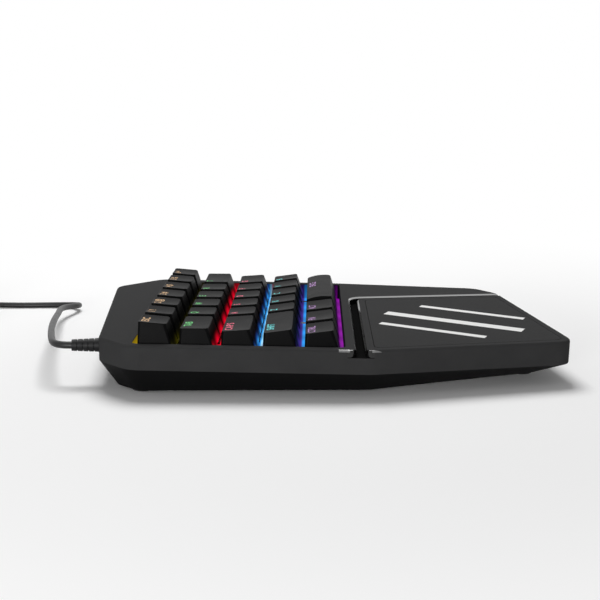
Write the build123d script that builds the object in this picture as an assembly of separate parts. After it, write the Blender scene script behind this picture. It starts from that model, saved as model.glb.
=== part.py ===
from build123d import *
import math
import os

# One-handed mechanical keypad, millimetres. +X is the user's right, +Y the rear, +Z up.
# The origin is on the table, under the middle of the case.

# Case
case_width = 151.0
case_length = 236.0
deck_height = 22.9          # top face above the table at the middle of the case
deck_tilt = 0.9             # degrees, the rear is higher
band_height = 11.3          # upright side band, top face to parting line
base_height = 1.0           # underside of the base above the table
undercut_slope = 45.0       # degrees off upright, steepest side of the lower shell beside the board
case_wall = 2.2
base_wall = 3.0             # lower shell, measured level
top_wall = 2.2
floor_wall = 2.0
edge_round = 1.3
shell_gap = 0.25
overrun = 1.0

# Corners of the case seen from above, as shares of half the width and half the length,
# counter-clockwise from the rear left, and the radius of each corner.
outline_shares = [(-0.815, 0.886), (-1.0, 0.75), (-1.0, -0.178), (-0.689, -1.0), (0.702, -0.838),
                  (0.868, -0.746), (0.962, -0.085), (1.0, 0.8), (0.692, 0.992)]
corner_radii = [10.0, 14.0, 18.0, 9.0, 12.0, 12.0, 60.0, 12.0, 10.0]

# The same corners at the underside, where the sloping lower shell ends
base_shares = [(-0.768, 0.822), (-0.905, 0.720), (-0.864, -0.178), (-0.470, -0.886), (0.589, -0.763),
               (0.715, -0.682), (0.841, -0.081), (0.894, 0.771), (0.656, 0.924)]
base_radii = [8.0, 11.0, 16.0, 6.0, 8.0, 9.0, 50.0, 9.0, 8.0]

# Key block: widths in key units, rear row first, from the user's left
key_unit = 19.05
block_margin = 5.5          # key block to the user's left side of the case
rear_margin = 41.0          # middle of the rear row to the rear end of the case
row_widths = [[1.0] * 7,
              [1.5, 1.0, 1.0, 1.0, 1.0, 1.5],
              [1.75, 1.0, 1.0, 1.0, 1.0, 1.25],
              [2.25, 1.0, 1.0, 1.0, 1.0, 0.9],
              [1.25, 1.25, 1.25, 3.25]]
row_names = [["escape", "one", "two", "three", "four", "five", "six"],
             ["tab", "q", "w", "e", "r", "t"],
             ["caps", "a", "s", "d", "f", "g"],
             ["shift", "z", "x", "c", "v", "b"],
             ["control", "function", "alternate", "space"]]
cap_rear_heights = [12.7, 9.8, 8.7, 8.2, 8.3]
cap_front_heights = [11.8, 10.0, 9.8, 10.2, 10.2]
cap_side_gap = 0.5          # cap base to the edge of its unit
cap_top_inset = 2.3         # cap top to the edge of its unit
cap_depth = 16.4            # cap base, front to rear
cap_top_depth = 12.8
cap_top_shift = 1.6         # middle of the top lies this far behind the stem
cap_wall = 1.2
cap_roof = 1.5
cap_base_round = 1.0
cap_top_round = 1.6
cap_edge_round = 0.35
cap_dish = 0.5
cap_dish_margin = 1.0       # the dish runs out this far past the top on each side
space_crown = 0.8
key_travel = 4.0

# Switch module
plate_drop = 8.1            # top face of the case to top of the switch plate
plate_thickness = 1.5
plate_cutout = 14.0
skirt_height = 5.0          # cap skirt above the plate at rest
board_drop = 5.0            # top of the plate to top of the circuit board
board_thickness = 1.6
well_margin = 1.0
well_far_margin = 1.4
well_margin_y = 2.3
well_round = 2.5
well_wall = 1.6
plate_ledge = 3.0

housing_flange = 15.6
housing_flange_height = 0.8
housing_fit = 0.1
housing_top_height = 6.6
housing_shoulder = 13.6
housing_top_width = 9.4
housing_wall = 1.4
stem_width = 7.0
stem_depth = 5.4
stem_foot = 0.2
stem_shoulder = 6.8
stem_gap = 0.35
stem_bore = 4.8
cross_height = 3.4
cross_length = 4.0
cross_thickness = 1.2
cross_fit = 0.05
cap_post = 5.5
spring_outer = 4.4
spring_inner = 3.5
spring_seat = 4.3           # below the top of the plate
spring_top = 5.2            # above the top of the plate
guide_pin = 3.9
guide_pin_length = 3.0
contact_width = 1.0
contact_thickness = 0.3
contact_reach = 3.2         # below the top of the board
contact_places = [(-4.8, -2.6), (2.6, -5.1)]
light_width = 3.0
light_depth = 1.8
light_offset = 5.4          # in front of the stem
light_top = 1.3             # above the plate

# Stabilizers under the two long keys
shift_stabilizer_reach = 11.9
space_stabilizer_reach = 19.05
stabilizer_width = 7.0
stabilizer_depth = 13.4
stabilizer_drop = 4.2
stabilizer_wall = 0.8
stabilizer_lip = 0.4
slider_width = 2.4
slider_depth = 4.4
wire_thickness = 1.4
wire_leg = 8.0
wire_drop = 3.0             # wire bar below the top of the plate
wire_gap = 0.3

# Palm rest, its pad and the channel round it
pad_thickness = 1.6
pad_bezel = 4.2
pad_gap = 0.25
pad_channel_gap = 6.1       # middle of the channel to the rear edge of the pad
pad_channel_land = 4.6
pad_round = 2.5
channel_width = 4.0
channel_flare = 0.8
channel_depth = 3.5
channel_row_gap = 17.3      # middle of the front row to the middle of the channel
channel_corner_x = 33.0
channel_end_x = 52.5
channel_guard_round = 0.5   # inner corner of the wall under the channel
mouth_round = 4.0           # corners where the channel runs out through the side

# Fasteners, feet and board parts. The rear case screws are placed across and in front of the
# rear end, and the others by shares of half the width and of the palm rest's length.
rear_screws = [(-30.0, 22.5), (8.0, 20.0), (50.0, 17.0)]
palm_screw_shares = [(-0.689, 0.232), (0.715, 0.153), (-0.437, 0.626), (0.609, 0.488)]
screw_shank = 2.9
screw_head = 5.2
screw_head_height = 1.9
screw_grip = 5.0            # shank inside the upper boss
boss_diameter = 6.4
lower_boss_diameter = 8.0
thread_gap = 0.1
plate_screw_units = [1.02, 4.02, 6.72]      # from the key block's left side, in key units
plate_screw_shank = 1.9
plate_screw_head = 3.6
plate_screw_length = 6.0
post_diameter = 4.2
post_gap = 0.4
foot_shares = [(-0.808, 0.712), (0.768, 0.763), (-0.404, -0.822), (0.490, -0.700)]
foot_diameter = 11.5
foot_recess = 1.0
foot_round = 0.6
chip_size = 7.0
chip_height = 1.2
chip_x = -4.0
plug_socket_size = (8.0, 5.0, 4.0)
plug_socket_offset = 11.0   # from the strain relief, across
board_tab_margins = (4.0, 3.0)
board_tab_length = 10.0
board_margin = 0.8

# Cable, its strain relief, coil and plug
cable_diameter = 3.4
relief_share = -0.702       # of half the width
relief_drop = 5.9           # below the top face
relief_root = 6.6
relief_tip = 5.4
relief_length = 13.0
relief_rib = 0.5
relief_rib_count = 5
relief_neck = 5.0
relief_flange = 6.8
relief_flange_length = 2.0
lead_diameter = 2.2
exit_run = 9.0              # straight cable past the strain relief
coil_turns_per_layer = 3
coil_layers = 4
coil_outer_radius = 25.0
coil_pitch = 3.9
coil_side_gap = 2.0         # middle of the coil to the side of the case
coil_rear_gap = 122.0       # and to its rear end
tie_thickness = 1.0
tie_width = 8.0
tie_gap = 0.4
tie_rest_gap = 0.1          # under the lowest turns
overmould_length = 26.0
overmould_width = 15.0
overmould_height = 7.4
plug_shell_width = 12.0
plug_shell_height = 4.5
plug_shell_length = 18.75
plug_shell_wall = 0.3
tongue_thickness = 1.8
tongue_gap = 0.2

half_width = case_width / 2
half_length = case_length / 2
deck = Location((0, 0, deck_height), (deck_tilt, 0, 0))
plate_top = -plate_drop
board_top = plate_top - board_drop
undercut_rate = math.tan(math.radians(undercut_slope))
tilt_rate = math.sin(math.radians(deck_tilt))
block_left = block_margin - half_width
block_width = max(sum(widths) for widths in row_widths) * key_unit
first_row_y = half_length - rear_margin
last_row_y = first_row_y - (len(row_widths) - 1) * key_unit
channel_y = last_row_y - channel_row_gap
palm_length = channel_y + half_length
screw_places = [(x, half_length - rear) for x, rear in rear_screws] + [
    (across * half_width, channel_y - along * palm_length) for across, along in palm_screw_shares]
foot_places = [(across * half_width, along * half_length) for across, along in foot_shares]
relief_x = relief_share * half_width
plug_socket_x = relief_x + plug_socket_offset
chip_place = (chip_x, first_row_y - 1.5 * key_unit)
coil_place = (half_width + coil_side_gap, half_length + coil_rear_gap)
case_corners = [Vector(x * half_width, y * half_length) for x, y in outline_shares]


def moved_in(corners, inset):
    """Corners of an outline with its sides moved inwards by the inset."""
    moved = []
    for before, corner, after in zip(corners[-1:] + corners[:-1], corners, corners[1:] + corners[:1]):
        into = (corner - before).normalized()
        out = (after - corner).normalized()
        bisector = Vector(-into.Y - out.Y, into.X + out.X)
        bisector = bisector.normalized()
        moved.append(corner + bisector * (inset / bisector.dot(Vector(-into.Y, into.X))))
    return moved


def rounded_face(corners, radii, inset, level):
    points = [(point.X, point.Y) for point in moved_in(corners, inset)]
    rounds = [max(radius - inset, edge_round) for radius in radii]
    return Pos(0, 0, level) * make_face(FilletPolyline(*points, radius=rounds, close=True))


def outline_face(inset, level):
    return rounded_face(case_corners, corner_radii, inset, level)


def block(left, right, front, rear, bottom, top, round_radius=0.0):
    """Box between given planes, with rounded upright edges where a radius is given."""
    solid = Pos((left + right) / 2, (front + rear) / 2, (bottom + top) / 2) * Box(
        right - left, rear - front, top - bottom)
    if round_radius:
        solid = fillet(solid.edges().filter_by(Axis.Z), round_radius)
    return solid


def pillar(place, bottom, top, diameter):
    return Pos(place[0], place[1], (bottom + top) / 2) * Cylinder(diameter / 2, top - bottom)


def key_centres():
    """Row, name, width and stem place of every key."""
    for row, (widths, names) in enumerate(zip(row_widths, row_names)):
        left = block_left
        for width, name in zip(widths, names):
            yield row, name, width, (left + width * key_unit / 2, first_row_y - row * key_unit)
            left += width * key_unit


keys = list(key_centres())
stabilizer_reaches = {"shift": shift_stabilizer_reach, "space": space_stabilizer_reach}
stabilizer_places = [(place[0] + side * stabilizer_reaches[name], place[1], side)
                     for row, name, width, place in keys if name in stabilizer_reaches
                     for side in (-1, 1)]
well_left = block_left - well_margin
well_right = block_left + block_width + well_far_margin
well_rear = first_row_y + cap_depth / 2 + well_margin_y
well_front = last_row_y - cap_depth / 2 - well_margin_y
plate_screw_places = [(block_left + units * key_unit, first_row_y - (row + 0.5) * key_unit)
                      for row in (0, len(row_widths) - 2) for units in plate_screw_units]


def channel_path(level):
    route = [(-half_width - overrun, channel_y), (channel_corner_x, channel_y),
             (channel_end_x, -half_length + overrun)]
    bend = channel_width / 2 + channel_flare + case_wall + channel_guard_round
    return Pos(0, 0, level) * FilletPolyline(*route, radius=bend)


def channel_sweep(profile_points):
    """Channel section, across and up, carried along the channel."""
    path = channel_path(0)
    plane = Plane(path @ 0, x_dir=(0, 1, 0), z_dir=path % 0)
    section = plane * make_face(Polyline(*profile_points, close=True))
    return sweep(section, path=path)


def channel_mouth(margin):
    """Where the channel runs out through the side, between two rounded corners."""
    half = channel_width / 2 + mouth_round
    mouth = block(-half_width - overrun, mouth_round - half_width, channel_y - half, channel_y + half,
                  -channel_depth, overrun)
    if margin:
        return block(-half_width, mouth_round - half_width + margin, channel_y - half - margin,
                     channel_y + half + margin, -channel_depth - top_wall, 0)
    for side in (-1, 1):
        mouth = mouth - pillar((mouth_round - half_width, channel_y + side * half),
                               -channel_depth - overrun, 2 * overrun, 2 * mouth_round)
    return mouth


def crossing(first, second, third, fourth):
    """Where the line through two points meets the line through two others."""
    way = second - first
    other = fourth - third
    reach = ((third.X - first.X) * other.Y - (third.Y - first.Y) * other.X) / (
        way.X * other.Y - way.Y * other.X)
    return first + way * reach


def pad_face(gap):
    """Seat of the palm pad: inside the bezel, behind its seam and left of the channel."""
    left_rear, left_front, right_front = moved_in(case_corners, pad_bezel + gap)[2:5]
    seam_y = channel_y - pad_channel_gap - gap
    seam = [Vector(-half_width, seam_y), Vector(half_width, seam_y)]
    land = channel_width / 2 + pad_channel_land + gap
    edge = [Vector(channel_corner_x - land, channel_y), Vector(channel_end_x - land, -half_length + overrun)]
    points = [crossing(*seam, left_rear, left_front), left_front,
              crossing(left_front, right_front, *edge), crossing(*seam, *edge)]
    radii = [pad_round, corner_radii[3] - pad_bezel - gap, pad_round, pad_round]
    return make_face(FilletPolyline(*[(point.X, point.Y) for point in points], radius=radii, close=True))


def make_top_case():
    shell = extrude(outline_face(0, -band_height), band_height)
    shell = fillet(shell.faces().sort_by(Axis.Z)[-1].edges(), edge_round)
    channel_half = channel_width / 2
    guard_half = channel_half + channel_flare + case_wall
    guard_depth = channel_depth + top_wall
    guard = channel_sweep([(-guard_half, 0), (guard_half, 0),
                           (channel_half + case_wall, -guard_depth),
                           (-channel_half - case_wall, -guard_depth)])
    pad_support = Pos(0, 0, -pad_thickness - top_wall) * extrude(
        pad_face(-case_wall / 2), pad_thickness + top_wall)
    frame = block(-case_width, well_right + well_wall, well_front - well_wall, well_rear + well_wall,
                  plate_top, 0)
    cavity = extrude(outline_face(case_wall, -band_height), band_height - top_wall)
    cavity = cavity - guard - channel_mouth(case_wall) - pad_support - frame
    for place in screw_places:
        cavity = cavity - pillar(place, -band_height - overrun, 0, boss_diameter)
    solid = shell - cavity
    solid = solid - block(well_left, well_right, well_front, well_rear,
                          plate_top - overrun, overrun, well_round)
    bevel = channel_half + channel_flare
    solid = solid - channel_sweep([(-bevel - overrun, overrun), (-bevel, 0),
                                   (-channel_half, -channel_flare), (-channel_half, -channel_depth),
                                   (channel_half, -channel_depth), (channel_half, -channel_flare),
                                   (bevel, 0), (bevel + overrun, overrun)])
    solid = solid - channel_mouth(0)
    solid = solid - Pos(0, 0, -pad_thickness) * extrude(pad_face(0), pad_thickness + overrun)
    for place in screw_places:
        solid = solid - pillar(place, -band_height - overrun, -band_height + screw_grip + overrun,
                               screw_shank - thread_gap)
    solid = deck * solid
    return solid - relief_hole()


def make_bottom_case():
    depth = deck_height + case_length * tilt_rate
    low_corners, low_radii = [], []
    for top, share, top_radius, base_radius in zip(case_corners, base_shares, corner_radii, base_radii):
        base = Vector(share[0] * half_width, share[1] * half_length)
        stretch = (depth - band_height) / (deck_height + base.Y * tilt_rate - band_height - base_height)
        low_corners.append(top + (base - top) * stretch)
        low_radii.append(max(top_radius + (base_radius - top_radius) * stretch, edge_round))

    def hull(inset):
        return loft([outline_face(inset, -band_height), rounded_face(low_corners, low_radii, inset, -depth)],
                    ruled=True)

    outside = deck * hull(0)
    inside = deck * hull(base_wall)
    above_base = block(-case_width, case_width, -case_length, case_length, base_height, case_length)
    above_floor = block(-case_width, case_width, -case_length, case_length,
                        base_height + floor_wall, case_length)
    solid = (outside & above_base) - (inside & above_floor)
    posts = [pillar(place, -depth, plate_top - plate_thickness, post_diameter)
             for place in plate_screw_places]
    bosses = [pillar(place, -depth, -band_height, lower_boss_diameter) for place in screw_places]
    for column in posts + bosses:
        solid = solid + ((deck * column) & above_base)
    for place in plate_screw_places:
        hole = pillar(place, plate_top - plate_screw_length - overrun, plate_top,
                      plate_screw_shank + thread_gap)
        solid = solid - deck * hole
    for place in screw_places:
        shaft = pillar(place, -depth, -band_height + overrun, screw_shank + thread_gap)
        recess = pillar(place, -depth, screw_seat(), screw_head + 2 * shell_gap)
        solid = solid - deck * (shaft + recess)
    for place in foot_places:
        solid = solid - pillar(place, 0, base_height + foot_recess, foot_diameter)
    return solid


def screw_seat():
    """Level of the screw head's seat inside the lower boss."""
    return -band_height - screw_grip


def relief_frame():
    """Place and direction of the strain relief, square to the rear edge."""
    left = Vector(outline_shares[0][0] * half_width, outline_shares[0][1] * half_length)
    right = Vector(outline_shares[-1][0] * half_width, outline_shares[-1][1] * half_length)
    along = (right - left).normalized()
    share = (relief_x - left.X) / along.X
    face = left + along * share
    outwards = Vector(-along.Y, along.X)
    flat = Plane((face.X, face.Y, -relief_drop), x_dir=(along.X, along.Y, 0),
                 z_dir=(outwards.X, outwards.Y, 0))
    return Plane(deck * flat.location)


def relief_hole():
    plane = relief_frame()
    bore = Pos(0, 0, -case_wall) * Cylinder((relief_neck + shell_gap) / 2, 3 * case_wall)
    return plane.location * bore


def make_strain_relief():
    rib_pitch = relief_length / relief_rib_count
    cone = loft([Circle(relief_root / 2).face(), Pos(0, 0, relief_length) * Circle(relief_tip / 2).face()])
    ribs = cone
    for index in range(relief_rib_count - 1):
        level = (index + 1) * rib_pitch
        radius = relief_root / 2 + (relief_tip - relief_root) / 2 * level / relief_length
        ring = Cylinder(radius + overrun, relief_rib) - Cylinder(radius - relief_rib, relief_rib)
        ribs = ribs - Pos(0, 0, level) * ring
    neck_length = case_wall + shell_gap
    neck = Pos(0, 0, -neck_length / 2) * Cylinder(relief_neck / 2, neck_length)
    flange = Pos(0, 0, -neck_length - relief_flange_length / 2) * Cylinder(
        relief_flange / 2, relief_flange_length)
    return relief_frame().location * (ribs + neck + flange)


def make_switch_plate():
    outer = block(-half_width + case_wall + shell_gap, well_right + plate_ledge,
                  well_front - plate_ledge, well_rear + plate_ledge, plate_top - plate_thickness, plate_top)
    room = extrude(outline_face(case_wall + shell_gap, plate_top - plate_thickness), plate_thickness)
    plate = outer & room
    cuts = [Pos(place[0], place[1], plate_top) * Box(plate_cutout, plate_cutout, 3 * plate_thickness)
            for row, name, width, place in keys]
    cuts += [Pos(x, y, plate_top) * Box(stabilizer_width, stabilizer_depth, 3 * plate_thickness)
             for x, y, side in stabilizer_places]
    for cut in cuts:
        plate = plate - cut
    for place in plate_screw_places:
        plate = plate - plate_screw(place, thread_gap)
    return deck * plate


def plate_screw(place, gap):
    """Countersunk screw, flush with the top of the plate."""
    head_radius = plate_screw_head / 2 + gap
    shank_radius = plate_screw_shank / 2 + gap / 2
    sink = head_radius - shank_radius
    head = loft([Pos(0, 0, -sink) * Circle(shank_radius).face(), Circle(head_radius).face()])
    shank = Pos(0, 0, -plate_screw_length / 2) * Cylinder(shank_radius, plate_screw_length)
    return Pos(place[0], place[1], plate_top) * (head + shank)


def make_circuit_board():
    bottom = board_top - board_thickness
    inset = base_wall + undercut_rate * (-bottom - band_height) + board_margin
    left = -half_width + inset
    rear = first_row_y + cap_depth / 2 + board_margin
    board = block(left, well_right, well_front, rear, bottom, board_top)
    tab_half = plug_socket_size[0] / 2
    board = board + block(plug_socket_x - tab_half - board_tab_margins[0],
                          plug_socket_x + tab_half + board_tab_margins[1],
                          rear - overrun, rear + board_tab_length, bottom, board_top)
    for row, name, width, place in keys:
        board = board - pillar(place, bottom - overrun, board_top + overrun, guide_pin + 2 * housing_fit)
        for pin in contact_places:
            spot = (place[0] + pin[0], place[1] + pin[1])
            board = board - pillar(spot, bottom - overrun, board_top + overrun,
                                   contact_width + 4 * housing_fit)
    for place in plate_screw_places:
        board = board - pillar(place, bottom - overrun, board_top + overrun, post_diameter + 2 * post_gap)
    for x, y, side in stabilizer_places:
        board = board - block(x - stabilizer_width / 2, x + stabilizer_width / 2,
                              y - stabilizer_depth / 2, y + wire_leg + wire_thickness,
                              bottom - overrun, board_top + overrun)
    room = extrude(outline_face(inset, bottom), board_thickness)
    return deck * (board & room)


def cross_shape(gap):
    length = cross_length + 2 * gap
    thickness = cross_thickness + 2 * gap
    return Rectangle(length, thickness) + Rectangle(thickness, length)


def make_lower_housing():
    body_width = plate_cutout - 2 * housing_fit
    body = block(-body_width / 2, body_width / 2, -body_width / 2, body_width / 2,
                 board_top, plate_top)
    flange = block(-housing_flange / 2, housing_flange / 2, -housing_flange / 2, housing_flange / 2,
                   plate_top, plate_top + housing_flange_height)
    pin = pillar((0, 0), board_top - guide_pin_length, board_top, guide_pin)
    well_x = stem_width / 2 + stem_gap
    well_y = stem_depth / 2 + stem_gap
    well = block(-well_x, well_x, -well_y, well_y, plate_top - spring_seat,
                 plate_top + housing_flange_height + overrun)
    post_width = spring_inner - 2 * housing_fit
    post = pillar((0, 0), plate_top - spring_seat - housing_fit, plate_top - spring_seat / 2, post_width)
    housing = (body + flange + pin - well) + post - light_slot()
    for pin_x, pin_y in contact_places:
        housing = housing - block(pin_x - contact_width, pin_x + contact_width,
                                  pin_y - contact_thickness, pin_y + contact_thickness,
                                  board_top - overrun, plate_top - plate_thickness)
    return housing


def light_slot():
    """Open slot in front of the stem, where the light stands."""
    half = light_width / 2 + housing_fit
    rear = -light_offset + light_depth / 2 + housing_fit
    return block(-half, half, -housing_flange, rear, board_top - overrun,
                 plate_top + light_top + housing_fit)


def make_upper_housing():
    bottom = plate_top + housing_flange_height
    top = plate_top + housing_top_height
    outside = loft([Pos(0, 0, bottom) * Rectangle(housing_shoulder, housing_shoulder),
                    Pos(0, 0, top) * Rectangle(housing_top_width, housing_top_width)])
    inner_bottom = housing_shoulder - 2 * housing_wall
    inner_top = housing_top_width - 2 * housing_wall / 2
    inside = loft([Pos(0, 0, bottom) * Rectangle(inner_bottom, inner_bottom),
                   Pos(0, 0, top - housing_wall) * Rectangle(inner_top, inner_top)])
    window = block(-stem_width / 2 - stem_gap, stem_width / 2 + stem_gap,
                   -stem_depth / 2 - stem_gap, stem_depth / 2 + stem_gap, bottom, top + overrun)
    return outside - inside - window - light_slot()


def make_contacts():
    pins = []
    for pin_x, pin_y in contact_places:
        pins.append(block(pin_x - contact_width / 2, pin_x + contact_width / 2,
                          pin_y - contact_thickness / 2, pin_y + contact_thickness / 2,
                          board_top - contact_reach, plate_top - plate_thickness - housing_fit))
    return pins


def make_light():
    return block(-light_width / 2, light_width / 2, -light_offset - light_depth / 2,
                 -light_offset + light_depth / 2, board_top, plate_top + light_top)


def make_spring():
    outer = pillar((0, 0), plate_top - spring_seat, plate_top + spring_top, spring_outer)
    return outer - pillar((0, 0), plate_top - spring_seat, plate_top + spring_top, spring_inner)


def make_stem():
    """Slider that runs in the switch, with the cross that carries the cap."""
    slider = block(-stem_width / 2, stem_width / 2, -stem_depth / 2, stem_depth / 2,
                   plate_top + stem_foot, plate_top + stem_shoulder)
    bore = pillar((0, 0), plate_top, plate_top + spring_top, stem_bore)
    cross = Pos(0, 0, plate_top + stem_shoulder) * extrude(cross_shape(0), cross_height)
    return slider - bore + cross


def make_stabilizer_slider(side):
    """Insert beside the wire leg; the wire's hook passes through its eye."""
    inner = -side * slider_width / 2
    eye_level = plate_top - wire_drop + key_travel / 2
    slider = block(inner - slider_width / 2, inner + slider_width / 2,
                   -slider_depth / 2, slider_depth / 2,
                   eye_level - wire_thickness - wire_gap, plate_top + stem_shoulder)
    eye = Pos(inner, 0, eye_level) * Rot(0, 90, 0) * Cylinder(
        wire_thickness / 2 + wire_gap, 2 * slider_width)
    head = Pos(0, 0, plate_top + stem_shoulder) * extrude(cross_shape(0), cross_height)
    top = block(-slider_width, slider_width, -slider_depth / 2, slider_depth / 2,
                plate_top + stem_shoulder - cap_wall, plate_top + stem_shoulder)
    return slider + top - eye + head


def cap_top_place(row, lift):
    """Place of the middle of the sloping cap top, raised by the lift."""
    middle = (cap_rear_heights[row] + cap_front_heights[row]) / 2
    lean = math.degrees(math.atan2(cap_rear_heights[row] - cap_front_heights[row], cap_top_depth))
    return Location((0, cap_top_shift, plate_top + skirt_height + middle), (lean, 0, 0)) * Pos(0, 0, lift)


def cap_shape(width, row, shrink, lift):
    """Tapered block between the skirt and the sloping top; shrink moves its sides inwards."""
    half = width * key_unit / 2
    base = Pos(0, 0, plate_top + skirt_height) * RectangleRounded(
        2 * (half - cap_side_gap - shrink), cap_depth - 2 * shrink, max(cap_base_round - shrink, cap_edge_round))
    top = cap_top_place(row, lift) * RectangleRounded(
        2 * (half - cap_top_inset - shrink), cap_top_depth - 2 * shrink,
        max(cap_top_round - shrink, cap_edge_round))
    return loft([base, top], ruled=True)


def make_cap(width, row, crowned, post_places):
    if crowned:
        radius = cap_top_depth ** 2 / (8 * space_crown)
        crown = cap_top_place(row, space_crown - radius) * Rot(0, 90, 0) * Cylinder(
            radius, 2 * width * key_unit)
        outside = cap_shape(width, row, 0.0, space_crown) & crown
    else:
        chord = width * key_unit - 2 * cap_top_inset + 2 * cap_dish_margin
        radius = chord ** 2 / (8 * cap_dish)
        dish = cap_top_place(row, radius - cap_dish) * Rot(90, 0, 0) * Cylinder(radius, 2 * cap_depth)
        outside = cap_shape(width, row, 0.0, 0.0) - dish
    roof_face = outside.faces().sort_by(Axis.Z)[-1]
    outside = fillet(roof_face.edges(), cap_edge_round)
    cap = outside - cap_shape(width, row, cap_wall, -cap_roof)
    shoulder = plate_top + stem_shoulder
    for place in post_places:
        post = Pos(place, 0, 0) * pillar((0, 0), shoulder + housing_fit, shoulder + cap_depth, cap_post)
        socket = Pos(place, 0, shoulder) * extrude(cross_shape(cross_fit), cross_height + housing_fit)
        cap = cap + (post & outside) - socket
    return cap


def make_key(row, name, width, place):
    """Cap and slider of one key, and the stabilizer inserts of a long one."""
    reach = stabilizer_reaches.get(name)
    posts = [0.0] if reach is None else [-reach, 0.0, reach]
    cap = make_cap(width, row, name == "space", posts)
    solids = [cap, make_stem()]
    if reach is not None:
        solids += [Pos(side * reach, 0, 0) * make_stabilizer_slider(side) for side in (-1, 1)]
    return [deck * Pos(place[0], place[1], 0) * solid for solid in solids]


def make_stabilizer_housing(x, y, side):
    bottom = plate_top - stabilizer_drop
    body = block(-stabilizer_width / 2 + housing_fit, stabilizer_width / 2 - housing_fit,
                 -stabilizer_depth / 2 + housing_fit, stabilizer_depth / 2 - housing_fit,
                 bottom, plate_top)
    flange = block(-stabilizer_width / 2 - stabilizer_lip, stabilizer_width / 2 + stabilizer_lip,
                   -stabilizer_depth / 2, stabilizer_depth / 2, plate_top, plate_top + housing_flange_height)
    room = block(-stabilizer_width / 2 + stabilizer_wall, stabilizer_width / 2 - stabilizer_wall,
                 -slider_depth / 2 - wire_gap, stabilizer_depth / 2 - stabilizer_wall,
                 bottom - overrun, plate_top + housing_flange_height + overrun)
    leg_x = side * (wire_thickness / 2 + wire_gap)
    notch = block(leg_x - wire_thickness / 2 - wire_gap, leg_x + wire_thickness / 2 + wire_gap,
                  0, stabilizer_depth, bottom - overrun, plate_top - wire_gap)
    return deck * Pos(x, y, 0) * (body + flange - room - notch)


def make_stabilizer_wire(name):
    """Bar under the plate with a leg and a hook at each end."""
    place = [spot for row, key, width, spot in keys if key == name][0]
    reach = stabilizer_reaches[name]
    leg_x = reach + wire_thickness / 2 + wire_gap
    rise = key_travel / 2
    run = math.sqrt(wire_leg ** 2 - rise ** 2)
    level = plate_top - wire_drop
    hook = slider_width + wire_gap
    points = [(-leg_x + hook, 0, level + rise), (-leg_x, 0, level + rise), (-leg_x, run, level),
              (leg_x, run, level), (leg_x, 0, level + rise), (leg_x - hook, 0, level + rise)]
    path = FilletPolyline(*points, radius=wire_thickness)
    wire = sweep(Plane(path @ 0, z_dir=path % 0) * Circle(wire_thickness / 2), path=path)
    return deck * Pos(place[0], place[1], 0) * wire


def make_case_screw(place):
    seat = screw_seat()
    length = -band_height + screw_grip - seat
    head = Pos(0, 0, -screw_head_height / 2) * Cylinder(screw_head / 2, screw_head_height)
    slot = Pos(0, 0, -screw_head_height) * extrude(cross_shape(-cross_thickness / 4), screw_head_height / 2)
    shank = Pos(0, 0, length / 2) * Cylinder(screw_shank / 2 - thread_gap / 2, length)
    return deck * Pos(place[0], place[1], seat) * (head - slot + shank)


def make_foot(place):
    height = base_height + foot_recess
    foot = Pos(place[0], place[1], height / 2) * Cylinder(foot_diameter / 2 - housing_fit, height)
    return fillet(foot.edges().sort_by(Axis.Z)[0], foot_round)


def make_chip():
    top = board_top - board_thickness
    half = chip_size / 2
    return deck * block(chip_place[0] - half, chip_place[0] + half, chip_place[1] - half,
                        chip_place[1] + half, top - chip_height, top)


def socket_front():
    return first_row_y + cap_depth / 2 + board_margin + board_tab_length - plug_socket_size[1]


def make_cable_connector():
    length, depth, height = plug_socket_size
    front = socket_front()
    return deck * block(plug_socket_x - length / 2, plug_socket_x + length / 2, front, front + depth,
                        board_top, board_top + height)


def route_radii(points, closed_share=0.45):
    """Radius of each corner: as large as the shorter run beside it allows."""
    radii = []
    for before, corner, after in zip(points, points[1:], points[2:]):
        into = Vector(*corner) - Vector(*before)
        out = Vector(*after) - Vector(*corner)
        turn = math.radians(into.get_angle(out))
        radii.append(closed_share * min(into.length, out.length) / math.tan(turn / 2))
    return radii


def tube(points, diameter, label):
    radii = route_radii(points)
    path = FilletPolyline(*points, radius=radii)
    section = Plane(path @ 0, z_dir=path % 0) * Circle(diameter / 2)
    solid = sweep(section, path=path)
    print(label, "length", round(path.length, 1), "radii", [round(radius, 1) for radius in radii],
          "volume ratio", round(solid.volume / (math.pi * diameter ** 2 / 4 * path.length), 4))
    return solid


relief_plane = relief_frame()
relief_end = relief_plane.origin + relief_plane.z_dir * relief_length
exit_end = relief_end + relief_plane.z_dir * exit_run
lead_start = relief_plane.origin - relief_plane.z_dir * (case_wall + shell_gap + relief_flange_length)
cable_level = cable_diameter / 2
coil_level = cable_level + tie_thickness / 2 + tie_rest_gap

# Free stretch of the cable, from the strain relief over the table to the coil
cable_route = [(relief_end.X, relief_end.Y, relief_end.Z), (exit_end.X, exit_end.Y, exit_end.Z),
               (-49.5, 134.0, 18.7), (-33.0, 137.5, 17.9), (-10.0, 142.0, 16.2), (18.0, 146.0, 13.6),
               (48.0, 151.5, 10.4), (76.0, 155.5, 6.8), (98.0, 146.5, 3.2),
               (104.5, 164.0, cable_level), (102.3, 190.0, cable_level),
               (coil_place[0] + coil_outer_radius, 215.0, coil_level),
               (coil_place[0] + coil_outer_radius, coil_place[1] - cable_diameter, coil_level)]


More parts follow.
